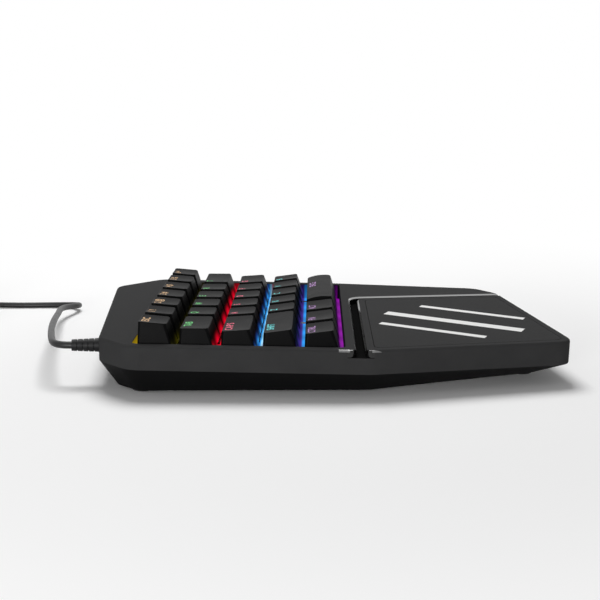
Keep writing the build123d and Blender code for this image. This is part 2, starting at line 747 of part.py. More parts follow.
def coil_point(angle):
    """Point of the wound cable at a running angle, in radians."""
    layer_angle = 2 * math.pi * coil_turns_per_layer
    phase = angle / layer_angle
    layer = int(min(phase, coil_layers - 1))
    along = phase - layer
    inward = along if layer % 2 == 0 else 1 - along
    radius = coil_outer_radius - inward * coil_turns_per_layer * coil_pitch
    level = 0.0
    for step in range(1, coil_layers):
        into = (angle - step * layer_angle) / math.pi + 0.5
        ease = min(max(into, 0.0), 1.0)
        level += coil_pitch * ease * ease * (3 - 2 * ease)
    return Vector(coil_place[0] + radius * math.cos(angle), coil_place[1] + radius * math.sin(angle),
                  coil_level + level)


def coil_tangent(angle):
    step = math.pi / 2000
    return (coil_point(angle + step) - coil_point(angle - step)).normalized()


def biarc(start, start_way, end, end_way):
    """Two arcs that join two points with given directions."""
    chord = end - start
    ways = start_way + end_way
    square = 2 * (1 - start_way.dot(end_way))
    linear = chord.dot(ways)
    if square < 1e-9:
        reach = chord.dot(chord) / (2 * linear)
    else:
        reach = (-linear + math.sqrt(linear ** 2 + square * chord.dot(chord))) / square
    first = start + start_way * reach
    second = end - end_way * reach
    middle = (first + second) * 0.5
    way = (second - first).normalized()
    return [TangentArc(start, middle, tangent=start_way), TangentArc(middle, end, tangent=way)]


def make_cable_coil():
    quarters = coil_turns_per_layer * coil_layers * 4
    angles = [index * math.pi / 2 for index in range(quarters + 1)]
    points = [coil_point(angle) for angle in angles]
    ways = [coil_tangent(angle) for angle in angles]
    ways[0] = Vector(0, 1, 0)
    ways[-1] = Vector(0, 1, 0)
    edges = [Line(points[0] - ways[0] * cable_diameter, points[0])]
    for index in range(quarters):
        edges += biarc(points[index], ways[index], points[index + 1], ways[index + 1])
    edges.append(Line(points[-1], points[-1] + ways[-1] * cable_diameter))
    path = Wire([edge.edge() for edge in edges])
    section = Plane(edges[0] @ 0, z_dir=ways[0]) * Circle(cable_diameter / 2)
    coil = sweep(section, path=path)
    samples = [coil_point(index * math.pi / 24) for index in range(quarters * 12 + 1)]
    least = min((samples[i] - samples[j]).length
                for i in range(0, len(samples), 2) for j in range(i + 12, len(samples)))
    print("coil length", round(path.length, 1), "least gap", round(least - cable_diameter, 2),
          "volume ratio", round(coil.volume / (math.pi * cable_diameter ** 2 / 4 * path.length), 4))
    return coil


coil_end = Vector(coil_place[0] + coil_outer_radius, coil_place[1] + cable_diameter,
                  coil_level + (coil_layers - 1) * coil_pitch)
plug_level = overmould_height / 2
plug_x = coil_place[0] - coil_outer_radius - cable_diameter - overmould_width / 2
tail_route = [(coil_end.X, coil_end.Y, coil_end.Z), (coil_end.X, 249.0, coil_end.Z), (102.8, 258.0, 13.2),
              (96.5, 269.0, 11.6), (80.0, 276.5, 9.6), (61.5, 273.5, 7.3), (48.0, 263.5, 5.4),
              (plug_x, 252.0, plug_level), (plug_x, 241.0, plug_level)]


def make_cable_tie():
    """Band round the bundle, on the side of the coil that faces the keypad."""
    height = coil_layers * coil_pitch + tie_gap
    inner_radius = coil_outer_radius - coil_turns_per_layer * coil_pitch - cable_diameter / 2 - tie_gap
    outer_radius = coil_outer_radius + cable_diameter / 2 + tie_gap
    half = tie_width / 2
    rear = coil_place[1] - math.sqrt(inner_radius ** 2 - half ** 2)
    front = coil_place[1] - outer_radius
    rim = coil_place[0]
    hole = block(rim - half - overrun, rim + half + overrun, front, rear, tie_thickness / 2,
                 height + tie_thickness / 2)
    band = block(rim - half, rim + half, front - tie_thickness, rear + tie_thickness, 0,
                 height + 3 * tie_thickness / 2)
    return band - hole


def make_overmould():
    start = tail_route[-1][1]
    body = block(-overmould_width / 2, overmould_width / 2, start - overmould_length, start,
                 0, overmould_height, edge_round)
    body = fillet(body.faces().sort_by(Axis.Z)[-1].edges(), edge_round / 2)
    return Pos(plug_x, 0, 0) * body


def plug_block(width, height, rear, front):
    return block(plug_x - width / 2, plug_x + width / 2, front, rear,
                 plug_level - height / 2, plug_level + height / 2)


def make_plug_shell():
    rear = tail_route[-1][1] - overmould_length
    front = rear - plug_shell_length
    outside = plug_block(plug_shell_width, plug_shell_height, rear, front)
    return outside - plug_block(plug_shell_width - 2 * plug_shell_wall,
                                plug_shell_height - 2 * plug_shell_wall, rear + overrun, front - overrun)


def make_plug_tongue():
    rear = tail_route[-1][1] - overmould_length
    inner = plug_shell_height / 2 - plug_shell_wall - tongue_gap
    return block(plug_x - plug_shell_width / 2 + plug_shell_wall + tongue_gap,
                 plug_x + plug_shell_width / 2 - plug_shell_wall - tongue_gap,
                 rear - plug_shell_length + tongue_gap, rear,
                 plug_level + inner - tongue_thickness, plug_level + inner)


def at_each_key(maker):
    """Copies of one switch piece at every key; the piece is modelled once."""
    shape = maker()
    solids = shape if isinstance(shape, list) else [shape]
    return [deck * Pos(place[0], place[1], 0) * solid
            for row, name, width, place in keys for solid in solids]


def save(name, solids):
    pieces = solids if isinstance(solids, list) else [solids]
    bodies = [solid for piece in pieces for solid in piece.solids()]
    group = bodies[0] if len(bodies) == 1 else Compound(children=bodies)
    export_step(group, os.path.join("parts", name + ".step"))


def lead_route():
    connector = (deck * Pos(plug_socket_x - plug_socket_size[0] / 2,
                            socket_front() + plug_socket_size[1] / 2,
                            board_top + plug_socket_size[2] / 2)).position
    start = lead_start
    straight = start - relief_plane.z_dir * (2 * lead_diameter)
    return [(start.X, start.Y, start.Z), (straight.X, straight.Y, straight.Z),
            (connector.X - 4 * lead_diameter, connector.Y, (connector.Z + straight.Z) / 2),
            (connector.X - 2 * lead_diameter, connector.Y, connector.Z), tuple(connector)]


def main():
    os.makedirs("parts", exist_ok=True)
    for row, name, width, place in keys:
        save("key_" + name, make_key(row, name, width, place))
    save("top_case", make_top_case())
    save("bottom_case", make_bottom_case())
    save("palm_rest_pad", deck * Pos(0, 0, -pad_thickness) * extrude(pad_face(pad_gap), pad_thickness))
    save("switch_plate", make_switch_plate())
    save("circuit_board", make_circuit_board())
    save("switch_lower_housings", at_each_key(make_lower_housing))
    save("switch_upper_housings", at_each_key(make_upper_housing))
    save("switch_springs", at_each_key(make_spring))
    save("switch_contacts", at_each_key(make_contacts))
    save("switch_lights", at_each_key(make_light))
    save("controller_chip", make_chip())
    save("cable_connector", make_cable_connector())
    save("stabilizer_housings", [make_stabilizer_housing(*place) for place in stabilizer_places])
    save("stabilizer_wire_shift", make_stabilizer_wire("shift"))
    save("stabilizer_wire_space", make_stabilizer_wire("space"))
    save("case_screws", [make_case_screw(place) for place in screw_places])
    save("plate_screws", [deck * plate_screw(place, 0) for place in plate_screw_places])
    for name, place in zip(("rear_left", "rear_right", "front_left", "front_right"), foot_places):
        save("foot_" + name, make_foot(place))
    save("strain_relief", make_strain_relief())
    save("inner_lead", tube(lead_route(), lead_diameter, "inner lead"))
    save("cable", tube(cable_route, cable_diameter, "cable"))
    save("cable_coil", make_cable_coil())
    save("cable_tail", tube(tail_route, cable_diameter, "cable tail"))
    save("cable_tie", make_cable_tie())
    save("plug_overmould", make_overmould())
    save("plug_shell", make_plug_shell())
    save("plug_tongue", make_plug_tongue())


main()
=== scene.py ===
import math

import bpy
from mathutils import Matrix, Vector


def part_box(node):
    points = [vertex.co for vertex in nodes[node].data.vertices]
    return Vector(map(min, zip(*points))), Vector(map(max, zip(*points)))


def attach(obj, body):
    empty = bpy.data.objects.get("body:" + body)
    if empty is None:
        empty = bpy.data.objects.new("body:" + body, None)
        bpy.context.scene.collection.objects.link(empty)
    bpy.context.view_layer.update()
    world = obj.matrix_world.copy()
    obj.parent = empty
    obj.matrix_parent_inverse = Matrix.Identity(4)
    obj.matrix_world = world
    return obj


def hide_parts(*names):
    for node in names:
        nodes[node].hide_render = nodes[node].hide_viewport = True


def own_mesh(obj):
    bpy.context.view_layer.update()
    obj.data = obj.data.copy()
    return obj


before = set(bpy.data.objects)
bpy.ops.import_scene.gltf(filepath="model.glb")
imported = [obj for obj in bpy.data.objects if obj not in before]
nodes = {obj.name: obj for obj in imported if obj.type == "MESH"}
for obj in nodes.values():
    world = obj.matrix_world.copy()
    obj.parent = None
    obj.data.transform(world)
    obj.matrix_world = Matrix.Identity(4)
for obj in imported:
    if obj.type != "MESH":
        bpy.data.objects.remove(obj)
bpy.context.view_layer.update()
mm = 0.001

# Camera: it stands at the keypad's left side, a little above the deck, as in the photograph.
# Its place, aim and lens were fitted to the five rows of keys.
camera_place = Vector((-0.5195, 0.0035, 0.1454))
camera_pitch = 0.22082      # radians below the horizon
camera_turn = 0.01669       # radians from +X towards the rear
camera_lens = 61.69
camera_sensor = 36.0
nearest_seen = 0.01

camera = bpy.data.objects.new("camera", bpy.data.cameras.new("camera"))
bpy.context.scene.collection.objects.link(camera)
camera.data.sensor_width = camera_sensor
camera.data.lens = camera_lens
camera.data.clip_start = nearest_seen
camera.location = camera_place
sight = Vector((math.cos(camera_turn) * math.cos(camera_pitch),
                math.sin(camera_turn) * math.cos(camera_pitch), -math.sin(camera_pitch)))
camera.rotation_euler = sight.to_track_quat("-Z", "Y").to_euler()
bpy.context.scene.camera = camera


# Cable: a round, fairly limp lead in a smooth black plastic jacket. It bends up out of the
# strain relief, runs off to the user's right and is wound into a flat coil for storage.
class Value:
    """One shader socket that adds, subtracts, multiplies and compares like a number."""

    def __init__(self, finish, socket):
        self.finish, self.socket = finish, socket

    def reckon(self, operation, first, second=0.0):
        return self.finish.node("ShaderNodeMath", {"operation": operation}, {0: first, 1: second})

    def __add__(self, other):
        return self.reckon("ADD", self, other)

    __radd__ = __add__

    def __sub__(self, other):
        return self.reckon("SUBTRACT", self, other)

    def __rsub__(self, other):
        return self.reckon("SUBTRACT", other, self)

    def __mul__(self, other):
        return self.reckon("MULTIPLY", self, other)

    __rmul__ = __mul__

    def __lt__(self, other):
        return self.reckon("LESS_THAN", self, other)

    def __gt__(self, other):
        return self.reckon("GREATER_THAN", self, other)

    def size(self):
        return self.reckon("ABSOLUTE", self)

    def rise(self, low, high):
        """0 below low, 1 above high and a smooth step between."""
        return self.finish.node("ShaderNodeMapRange", {"interpolation_type": "SMOOTHSTEP"},
                                {"Value": self, "From Min": low, "From Max": high})


class Finish:
    """A material whose varying sockets are written as expressions on where a point lies."""

    def __init__(self, name, colour, roughness, metallic=0.0, gloss=0.5):
        self.material = bpy.data.materials.new(name)
        self.material.use_nodes = True
        self.tree = self.material.node_tree
        self.shader = self.tree.nodes["Principled BSDF"].inputs
        self.shader["Base Color"].default_value = (*colour, 1.0)
        self.shader["Roughness"].default_value = roughness
        self.shader["Metallic"].default_value = metallic
        self.shader["Specular IOR Level"].default_value = gloss
        self.place = self.node("ShaderNodeTexCoord", output="Object")
        parts = self.node("ShaderNodeSeparateXYZ", {}, {0: self.place})
        self.x, self.y, self.z = (Value(self, socket) for socket in parts.socket.node.outputs)

    def node(self, kind, settings=None, inputs=None, output=0):
        made = self.tree.nodes.new(kind)
        for name, setting in (settings or {}).items():
            if name == "stops":
                ramp = made.color_ramp.elements
                while len(ramp) > 1:
                    ramp.remove(ramp[-1])
                ramp[0].position, ramp[0].color = setting[0][0], (*setting[0][1], 1.0)
                for position, colour in setting[1:]:
                    ramp.new(position).color = (*colour, 1.0)
            else:
                setattr(made, name, setting)
        for name, value in (inputs or {}).items():
            self.feed(made.inputs[name], value)
        return Value(self, made.outputs[output])

    def feed(self, socket, value):
        if isinstance(value, Value):
            self.tree.links.new(value.socket, socket)
        else:
            socket.default_value = value

    def most(self, first, second):
        """The larger of two values."""
        return self.node("ShaderNodeMath", {"operation": "MAXIMUM"}, {0: first, 1: second})

    def noise(self, size, detail=2.0):
        """Cloudy pattern with features of about that size, in metres, from 0 to 1."""
        return self.node("ShaderNodeTexNoise", {}, {"Vector": self.place, "Scale": 1.0 / size,
                                                    "Detail": detail})

    def shade(self, factor, first, second):
        """Colour that goes from the first to the second as the factor goes from 0 to 1."""
        sides = [side if isinstance(side, Value) else (*side, 1.0) for side in (first, second)]
        return self.node("ShaderNodeMix", {"data_type": "RGBA"}, {0: factor, 6: sides[0], 7: sides[1]}, 2)

    def grain(self, height, depth):
        """Small relief of that depth, in metres."""
        relief = self.node("ShaderNodeBump", {}, {"Height": height, "Distance": depth})
        self.feed(self.shader["Normal"], relief)

    def put_on(self, *pieces):
        for piece in pieces:
            piece.data.materials.clear()
            piece.data.materials.append(self.material)


cable_diameter = 3.4
coil_centre = (77.5, 240.0)
coil_outer_radius = 25.0
coil_pitch = 3.9
coil_turns_per_layer = 3
coil_layers = 4
coil_level = 2.3            # of the bottom layer
coil_points_per_turn = 14
free_route = [(-54.42, 118.49, 18.86), (-55.32, 126.64, 18.99), (-40.0, 132.0, 18.5), (-14.0, 138.6, 16.9),
              (14.0, 144.2, 14.4), (44.0, 149.5, 10.9), (74.0, 155.5, 7.1), (98.0, 146.5, 3.2),
              (104.5, 164.0, 1.7), (102.3, 190.0, 1.7), (102.5, 215.0, 2.3)]
tail_route = [(102.5, 249.0, 14.0), (102.8, 258.0, 13.2), (96.5, 269.0, 11.6), (80.0, 276.5, 9.6),
              (61.5, 273.5, 7.3), (48.0, 263.5, 5.4), (41.6, 252.0, 3.7), (41.6, 241.0, 3.7)]


def coil_point(angle):
    """Control point of the wound cable at a running angle, in radians."""
    layer_angle = 2 * math.pi * coil_turns_per_layer
    phase = angle / layer_angle
    layer = int(min(phase, coil_layers - 1))
    along = phase - layer
    inward = along if layer % 2 == 0 else 1 - along
    radius = coil_outer_radius - inward * coil_turns_per_layer * coil_pitch
    level = coil_level
    for step in range(1, coil_layers):
        ease = min(max((angle - step * layer_angle) / math.pi + 0.5, 0.0), 1.0)
        level += coil_pitch * ease * ease * (3 - 2 * ease)
    return (coil_centre[0] + radius * math.cos(angle), coil_centre[1] + radius * math.sin(angle), level)


coil_steps = coil_layers * coil_turns_per_layer * coil_points_per_turn
coil_route = [coil_point(2 * math.pi * step / coil_points_per_turn) for step in range(coil_steps + 1)]
cable_points = free_route + coil_route + tail_route
line = bpy.data.curves.new("cable_lead", "CURVE")
line.dimensions = "3D"
line.bevel_depth = cable_diameter * mm / 2
line.bevel_resolution = 5
line.resolution_u = 6
line.use_fill_caps = True
spline = line.splines.new("NURBS")
spline.points.add(len(cable_points) - 1)
for point, place in zip(spline.points, cable_points):
    point.co = (*(mm * value for value in place), 1.0)
spline.order_u = 3
spline.use_endpoint_u = True
cable = bpy.data.objects.new("cable_lead", line)
bpy.context.scene.collection.objects.link(cable)

jacket = Finish("cable_jacket", (0.008, 0.008, 0.0085), 0.42, gloss=0.3)
jacket.feed(jacket.shader["Roughness"], 0.34 + 0.16 * jacket.noise(0.004))
jacket.grain(jacket.noise(0.0006), 0.00004)
jacket.put_on(cable, nodes["inner_lead"])
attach(cable, "base")
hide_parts("cable", "cable_coil", "cable_tail")

# Strain relief, tie and plug: soft black rubber round the lead, a thin plastic strap, and a
# plug with a drawn steel shell over a white tongue.
relief_rubber = Finish("relief_rubber", (0.004, 0.004, 0.0045), 0.5, gloss=0.2)
relief_rubber.feed(relief_rubber.shader["Roughness"], 0.42 + 0.2 * relief_rubber.noise(0.002))
relief_rubber.grain(relief_rubber.noise(0.0004), 0.00004)
relief_rubber.put_on(nodes["strain_relief"], nodes["plug_overmould"])

tie_plastic = Finish("tie_plastic", (0.014, 0.014, 0.015), 0.4)
tie_plastic.grain(tie_plastic.noise(0.001), 0.00005)
tie_plastic.put_on(nodes["cable_tie"])

plug_steel = Finish("plug_steel", (0.56, 0.56, 0.57), 0.28, metallic=1.0)
plug_steel.feed(plug_steel.shader["Roughness"], 0.22 + 0.14 * plug_steel.noise(0.003, 4.0))
plug_steel.put_on(nodes["plug_shell"])
tongue_plastic = Finish("tongue_plastic", (0.7, 0.7, 0.68), 0.45)
tongue_plastic.grain(tongue_plastic.noise(0.0008), 0.00003)
tongue_plastic.put_on(nodes["plug_tongue"])

# Top case: injection moulded ABS with a fine spark-eroded texture. The channel between the
# keys and the palm rest is painted darker as the shade in its recess, with polished bevels and
# a polished mouth; its far bevel and the lips beside the mouth carry a painted silver highlight.
deck_middle = 22.9          # top face above the table at the middle of the case
deck_tilt = math.radians(0.9)
deck_slope = math.tan(deck_tilt)
channel_line = -16.5        # the channel's middle, across the case
channel_corner = 33.0       # where it turns to the front
channel_end = 52.5          # where it leaves the case there
channel_run = 100.5         # from the corner to that end, along the case
channel_lean = math.atan2(channel_end - channel_corner, channel_run)
channel_reach = 2.85
channel_top, channel_floor = -0.05, -3.65   # from the top face of the case
bevel_foot = -0.9
mouth_inner = -71.4         # where the rounded corners of the mouth begin
mouth_reach = 6.1
mouth_foot = -3.4
# where the painted highlight lies on the lips beside the mouth, and how strong it is
lip_nearest, lip_furthest = 5.0, 10.0       # from the channel's middle
lip_side = -74.3            # the case's side face beside the mouth
lip_foot = -1.0
lip_highlight_share = 0.5
case_dull, case_pale = (0.026, 0.026, 0.0265), (0.034, 0.034, 0.0345)
# painted shade of the channel's recess, laid over the whole channel
channel_painted_shade = (0.003, 0.003, 0.003)
# silver of the painted highlight on the channel's far bevel and the lips beside its mouth
highlight_silver = (0.3, 0.3, 0.3)

case_plastic = Finish("case_plastic", (0.03, 0.03, 0.0305), 0.6, gloss=0.012)
height = case_plastic.z - deck_slope * case_plastic.y - deck_middle * mm
across = (case_plastic.y - channel_line * mm).size()
before_corner = case_plastic.x < (channel_corner + channel_reach) * mm
along = ((case_plastic.x - channel_corner * mm) * math.cos(channel_lean)
         + (case_plastic.y - channel_line * mm) * math.sin(channel_lean)).size()
past_corner = case_plastic.y < (channel_line + channel_reach) * mm
beside = case_plastic.most((across < channel_reach * mm) * before_corner,
                           (along < channel_reach * mm) * past_corner)
in_mouth = (across < mouth_reach * mm) * (case_plastic.x < mouth_inner * mm)
cut = case_plastic.most(beside, in_mouth) * (height < channel_top * mm) * (height > channel_floor * mm)
deep = cut * case_plastic.most((height < bevel_foot * mm) * (1 - in_mouth), height < mouth_foot * mm)
polished = cut * (1 - deep)
# Painted highlight: the channel's far bevels and the lips beside its mouth are coloured silver and made
# metallic, so they show bright lines of reflection on the black plastic.
far_bevel_highlight = polished * (1 - in_mouth) * (case_plastic.x > (channel_corner - channel_reach) * mm)
lip_highlights = (across < lip_furthest * mm) * (across > lip_nearest * mm) * (
    case_plastic.x < lip_side * mm) * (height > lip_foot * mm)
painted_highlight = case_plastic.most(far_bevel_highlight, lip_highlight_share * lip_highlights)
clouds = case_plastic.noise(0.012, 3.0)
case_plastic.feed(case_plastic.shader["Base Color"], case_plastic.shade(
    painted_highlight, case_plastic.shade(cut, case_plastic.shade(clouds, case_dull, case_pale), channel_painted_shade),
    highlight_silver))
case_plastic.feed(case_plastic.shader["Metallic"], painted_highlight)
case_plastic.feed(case_plastic.shader["Roughness"],
                  (0.56 + 0.08 * clouds) * (1 - deep) * (1 - 0.6 * painted_highlight) + 0.9 * deep)
case_plastic.feed(case_plastic.shader["Coat Weight"], polished)
case_plastic.shader["Coat Roughness"].default_value = 0.1
case_plastic.grain(case_plastic.noise(0.0004, 1.0) * (1 - cut), 0.00003)
case_plastic.put_on(nodes["top_case"])

# Bottom case and feet: the lower shell is moulded from the same plastic in black, coloured much
# darker than the top case, partly to paint the shade under the case's overhang. The feet are soft
# rubber discs, pressed into recesses under it.
# black, and darker than the top case as painted shade under the overhang
base_plastic = Finish("base_plastic", (0.004, 0.004, 0.0042), 0.5, gloss=0.04)
base_plastic.feed(base_plastic.shader["Roughness"], 0.46 + 0.1 * base_plastic.noise(0.01))
base_plastic.grain(base_plastic.noise(0.0005), 0.00003)
base_plastic.put_on(nodes["bottom_case"])

foot_rubber = Finish("foot_rubber", (0.01, 0.01, 0.01), 0.75, gloss=0.3)
foot_rubber.feed(foot_rubber.shader["Roughness"], 0.68 + 0.14 * foot_rubber.noise(0.002))
foot_rubber.grain(foot_rubber.noise(0.0006), 0.00005)
foot_rubber.put_on(nodes["foot_rear_left"], nodes["foot_rear_right"],
                   nodes["foot_front_left"], nodes["foot_front_right"])

# Palm rest pad: a dark printed polycarbonate sheet let into the case, with three plain white
# bars of even width, cut off square.
stripe_lean = math.radians(64.0)      # from the user's left towards the palm end
stripe_places = [-25.0, -3.0, 21.0]   # across the bars, from the pad's middle
stripe_halves = [2.2, 3.4, 2.2]
stripe_starts = [-30.0, -36.0, -26.0]
stripe_ends = [24.0, 36.0, 30.0]
stripe_white = (0.80, 0.80, 0.79)
pad_middle = (-14.0, -66.0)
pad_dull, pad_pale = (0.010, 0.010, 0.0103), (0.014, 0.014, 0.0143)

pad_sheet = Finish("pad_sheet", (0.012, 0.012, 0.0123), 0.5, gloss=0.03)
shift_x = pad_sheet.x - pad_middle[0] * mm
shift_y = pad_sheet.y - pad_middle[1] * mm
down = shift_x * -math.cos(stripe_lean) - shift_y * math.sin(stripe_lean)
side = shift_x * math.sin(stripe_lean) - shift_y * math.cos(stripe_lean)
printed = 0.0
for place, half, start, end in zip(stripe_places, stripe_halves, stripe_starts, stripe_ends):
    offset = side - place * mm
    printed = (offset.size() < half * mm) * (down > start * mm) * (down < end * mm) + printed
sheet_grain = pad_sheet.noise(0.0007, 2.0)
pad_sheet.feed(pad_sheet.shader["Base Color"], pad_sheet.shade(
    printed, pad_sheet.shade(pad_sheet.noise(0.02), pad_dull, pad_pale), stripe_white))
pad_sheet.feed(pad_sheet.shader["Roughness"], 0.50 + 0.1 * sheet_grain)
pad_sheet.grain(sheet_grain, 0.00003)
pad_sheet.put_on(nodes["palm_rest_pad"])

# Switch plate: a steel sheet, painted dark. It and the walls of the key well carry painted light,
# a glow for the lamps under each row: amber at the rear, then red, cyan over blue, blue and violet
# in front.
plate_front, plate_rear = -14.0, 92.0
key_pitch = 19.05
glow_stops = [(-14.0, (0.10, 0.0, 0.16)), (-11.0, (0.22, 0.0, 0.30)), (-9.0, (0.26, 0.0, 0.35)),
              (-6.5, (0.03, 0.0, 0.06)), (7.0, (0.02, 0.10, 0.30)), (9.2, (0.02, 0.36, 0.90)),
              (10.5, (0.02, 0.26, 0.85)), (10.9, (0.05, 0.02, 0.25)), (12.0, (0.03, 0.01, 0.18)),
              (16.0, (0.02, 0.0, 0.06)), (27.0, (0.10, 0.0, 0.01)), (29.3, (0.75, 0.0, 0.03)),
              (29.6, (0.15, 0.60, 1.0)), (30.2, (0.50, 0.85, 1.0)), (30.7, (0.04, 0.42, 0.95)),
              (31.6, (0.01, 0.10, 0.50)), (35.0, (0.01, 0.02, 0.06)), (46.0, (0.50, 0.0, 0.01)),
              (48.6, (1.0, 0.0, 0.02)), (50.6, (0.85, 0.0, 0.02)), (53.5, (0.10, 0.0, 0.0)),
              (58.0, (0.02, 0.01, 0.0)), (68.0, (0.05, 0.045, 0.0)), (69.4, (0.03, 0.027, 0.0)),
              (72.0, (0.01, 0.01, 0.0)), (84.0, (0.40, 0.26, 0.0)), (86.0, (0.90, 0.60, 0.01)),
              (92.0, (0.90, 0.55, 0.01))]
well_side, well_end = -71.0, 67.6       # walls of the key well across the case
well_front, well_rear = -9.7, 87.5      # and along it
well_slack = 1.0
wall_top, wall_foot = -0.3, -8.3        # lit part of a wall, from the top face of the case
wall_slack = 0.4
wall_glow, wall_gain = 0.25, 60.0       # at the top of a wall, and what each metre down adds


def row_light(finish, lamp_strength, between_lamps, lit=1.0):
    """Emission in the rows' colours on a surface, brighter beside each lamp: the lamps' own light, and
    painted light on surfaces that are no lamps.
    """
    level = (finish.y - plate_front * mm) * (1000.0 / (plate_rear - plate_front))
    stops = [((place - plate_front) / (plate_rear - plate_front), colour) for place, colour in glow_stops]
    colour = finish.node("ShaderNodeValToRGB", {"stops": stops}, {0: level})
    beat = finish.node("ShaderNodeMath", {"operation": "SINE"},
                       {0: finish.x * (2000.0 * math.pi / key_pitch)})
    finish.feed(finish.shader["Emission Color"], finish.shade(
        lit * (between_lamps + (1.0 - between_lamps) * (beat * 0.5 + 0.5)), (0.0, 0.0, 0.0), colour))
    finish.shader["Emission Strength"].default_value = lamp_strength


plate_paint = Finish("plate_paint", (0.01, 0.01, 0.011), 0.5, gloss=0.02)
plate_paint.feed(plate_paint.shader["Roughness"], 0.46 + 0.12 * plate_paint.noise(0.003))
plate_paint.grain(plate_paint.noise(0.0008), 0.00003)
# painted light: the rows' glow on the plate
row_light(plate_paint, lamp_strength=1.1, between_lamps=0.65)
plate_paint.put_on(nodes["switch_plate"])

# The rows' light is painted as a glow on the well's end wall and rear wall only. It grows towards
# the plate, and the bounds of the well keep it off the outer side of the case.
in_well = (case_plastic.x > (well_side - well_slack) * mm) * (
    case_plastic.x < (well_end + well_slack) * mm) * (
    case_plastic.y > (well_front - well_slack) * mm) * (
    case_plastic.y < (well_rear + well_slack) * mm)
wall_band = in_well * (height < wall_top * mm) * (height > wall_foot * mm)
end_wall = (case_plastic.x - well_end * mm).size() < wall_slack * mm
rear_wall = (case_plastic.y - well_rear * mm).size() < wall_slack * mm
painted_wall_light = wall_band * case_plastic.most(end_wall, rear_wall) * (wall_glow - height * wall_gain)
row_light(case_plastic, lamp_strength=0.75, between_lamps=1.0, lit=painted_wall_light)

# Switches: black lower housings, clear upper ones with the lamp's light painted on as a glow,
# small white lamps and gilt contact leaves.
housing_black = Finish("housing_black", (0.012, 0.012, 0.012), 0.4)
housing_black.grain(housing_black.noise(0.0006), 0.00003)
housing_black.put_on(nodes["switch_lower_housings"], nodes["stabilizer_housings"])

housing_clear = Finish("housing_clear", (0.25, 0.25, 0.26), 0.25)
housing_clear.feed(housing_clear.shader["Roughness"], 0.2 + 0.12 * housing_clear.noise(0.002))
# painted glow of the lamp's light in the clear housings
row_light(housing_clear, lamp_strength=1.3, between_lamps=0.3)
housing_clear.put_on(nodes["switch_upper_housings"])

lamp_lens = Finish("lamp_lens", (0.8, 0.8, 0.78), 0.2)
lamp_lens.feed(lamp_lens.shader["Roughness"], 0.15 + 0.1 * lamp_lens.noise(0.001))
row_light(lamp_lens, lamp_strength=8.0, between_lamps=1.0)
lamp_lens.put_on(nodes["switch_lights"])

contact_gilt = Finish("contact_gilt", (0.72, 0.5, 0.2), 0.3, metallic=1.0)
contact_gilt.feed(contact_gilt.shader["Roughness"], 0.24 + 0.14 * contact_gilt.noise(0.001))
contact_gilt.put_on(nodes["switch_contacts"])

# Springs and stabilizer wires: drawn steel wire. Each spring is wound and stands in its
# switch.
spring_length = 9.5
spring_radius = 1.975       # to the middle of the wire
spring_wire = 0.45
spring_turns = 9
spring_points_per_turn = 12

spring_steel = Finish("spring_steel", (0.5, 0.5, 0.51), 0.3, metallic=1.0)
spring_steel.grain(spring_steel.noise(0.0006), 0.00002)
spring_steel.feed(spring_steel.shader["Roughness"], 0.3 + 0.1 * spring_steel.noise(0.002))
spring_steel.put_on(nodes["stabilizer_wire_shift"], nodes["stabilizer_wire_space"])

bpy.ops.object.select_all(action="DESELECT")
coiled = bpy.data.curves.new("switch_spring", "CURVE")
coiled.dimensions = "3D"
coiled.bevel_depth = spring_wire * mm / 2
coiled.bevel_resolution = 1
coiled.resolution_u = 1
coiled.use_fill_caps = True
wire = coiled.splines.new("POLY")
wire.points.add(spring_turns * spring_points_per_turn)
for step, point in enumerate(wire.points):
    share = step / (spring_turns * spring_points_per_turn)
    angle = 2 * math.pi * spring_turns * share
    point.co = (spring_radius * mm * math.cos(angle), spring_radius * mm * math.sin(angle),
                (share - 0.5) * (spring_length - spring_wire) * mm, 1.0)
pattern = bpy.data.objects.new("switch_spring", coiled)
bpy.context.scene.collection.objects.link(pattern)
pattern.select_set(True)
bpy.context.view_layer.objects.active = pattern
bpy.ops.object.convert(target="MESH")
pattern = bpy.context.object
seats = [vertex.co.copy() for vertex in nodes["switch_springs"].data.vertices]
for name in sorted(node[4:] for node in nodes if node.startswith("key_")):
    low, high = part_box("key_" + name)
    ring = [seat for seat in seats if low[0] < seat.x < high[0] and low[1] < seat.y < high[1]]
    middle = Vector([(min(seat[axis] for seat in ring) + max(seat[axis] for seat in ring)) / 2
                     for axis in range(3)])
    spring = bpy.data.objects.new("switch_spring_" + name, pattern.data.copy())
    bpy.context.scene.collection.objects.link(spring)
    spring.data.transform(Matrix.Translation(middle) @ Matrix.Rotation(deck_tilt, 4, "X"))
    spring_steel.put_on(spring)
    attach(spring, "base")
    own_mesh(spring)
    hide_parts("switch_springs")
bpy.data.objects.remove(pattern)

# Circuit board, what is soldered to it, and the screws: a glass-fibre board under green lacquer,
# a chip moulded in black resin, a moulded white socket, and blackened steel screws.
track_scale, track_gap = 160.0, 0.03
track_green, board_green = (0.02, 0.09, 0.04), (0.008, 0.04, 0.018)

board_lacquer = Finish("board_lacquer", (0.01, 0.045, 0.02), 0.35)
tracks = board_lacquer.node("ShaderNodeTexBrick", {"offset": 0.5}, {
    "Vector": board_lacquer.place, "Scale": track_scale, "Mortar Size": track_gap})
board_lacquer.feed(board_lacquer.shader["Base Color"], board_lacquer.shade(
    tracks, track_green, board_green))
board_lacquer.put_on(nodes["circuit_board"])

chip_black = Finish("chip_black", (0.015, 0.015, 0.015), 0.55)
chip_black.grain(chip_black.noise(0.0005), 0.00003)
chip_black.put_on(nodes["controller_chip"])
socket_white = Finish("socket_white", (0.72, 0.70, 0.63), 0.4)
socket_white.grain(socket_white.noise(0.0008), 0.00003)
socket_white.put_on(nodes["cable_connector"])

screw_steel = Finish("screw_steel", (0.09, 0.09, 0.095), 0.35, metallic=1.0)
screw_steel.feed(screw_steel.shader["Roughness"], 0.28 + 0.2 * screw_steel.noise(0.0015))
screw_steel.put_on(nodes["case_screws"], nodes["plate_screws"])
